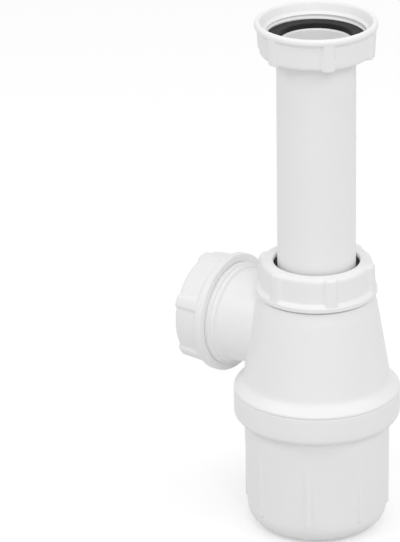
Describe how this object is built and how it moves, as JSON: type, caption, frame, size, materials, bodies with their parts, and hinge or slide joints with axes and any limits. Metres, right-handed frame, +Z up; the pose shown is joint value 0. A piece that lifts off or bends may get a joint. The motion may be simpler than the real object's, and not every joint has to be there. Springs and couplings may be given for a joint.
{
  "type": "bottle trap",
  "caption": "Bottle trap for a wash basin: a dip tube with a lugged union nut runs down into a conical body with a side outlet, a lugged outlet nut and a ribbed, screwed cup.",
  "frame": {"origin": "centre of the cup's flat base", "axes": "+Z up along the dip tube, +Y along the outlet towards the wall"},
  "size_m": [0.0684, 0.0891, 0.2194],
  "materials": {
    "white_plastic": "satin",
    "black_rubber": "matte"
  },
  "bodies": {
    "trap_body": {"trap_body": "white_plastic"},
    "inlet_tube": {"inlet_tube": "white_plastic", "inlet_washer": "black_rubber"},
    "inlet_nut": {"inlet_nut": "white_plastic"},
    "neck_seal": {"neck_seal": "black_rubber"},
    "neck_nut": {"neck_nut": "white_plastic"},
    "outlet_seal": {"outlet_seal": "black_rubber"},
    "outlet_nut": {"outlet_nut": "white_plastic"},
    "cup_seal": {"cup_seal": "black_rubber"},
    "cup": {"cup": "white_plastic"}
  },
  "joints": [
    {"name": "tube_slide", "type": "slide", "parent": "trap_body", "child": "inlet_tube", "axis": [0, 0, 1], "range_m": [-0.012, 0.04]},
    {"name": "inlet_nut_turn", "type": "hinge", "parent": "inlet_tube", "child": "inlet_nut", "pos_m": [0, 0, 0.2125], "axis": [0, 0, 1], "continuous": true},
    {"name": "neck_seal_slide", "type": "slide", "parent": "trap_body", "child": "neck_seal", "axis": [0, 0, 1], "range_m": [0, 0.0082]},
    {"name": "neck_nut_turn", "type": "hinge", "parent": "neck_seal", "child": "neck_nut", "pos_m": [0, 0, 0.1098], "axis": [0, 0, 1], "range_deg": [0, 1260]},
    {"name": "outlet_seal_slide", "type": "slide", "parent": "trap_body", "child": "outlet_seal", "axis": [0, 1, 0], "range_m": [0, 0.0082]},
    {"name": "outlet_nut_turn", "type": "hinge", "parent": "outlet_seal", "child": "outlet_nut", "pos_m": [0, 0.048, 0.0834], "axis": [0, 1, 0], "range_deg": [0, 1260]},
    {"name": "cup_seal_slide", "type": "slide", "parent": "trap_body", "child": "cup_seal", "axis": [0, 0, -1], "range_m": [0, 0.0091]},
    {"name": "cup_turn", "type": "hinge", "parent": "cup_seal", "child": "cup", "pos_m": [0, 0, 0.03], "axis": [0, 0, -1], "range_deg": [0, 1080]}
  ],
  "couplings": [
    {"joint": "neck_seal_slide", "follows": "neck_nut_turn", "m_per_rad": 0.00036749},
    {"joint": "outlet_seal_slide", "follows": "outlet_nut_turn", "m_per_rad": 0.00036749},
    {"joint": "cup_seal_slide", "follows": "cup_turn", "m_per_rad": 0.00047746}
  ]
}
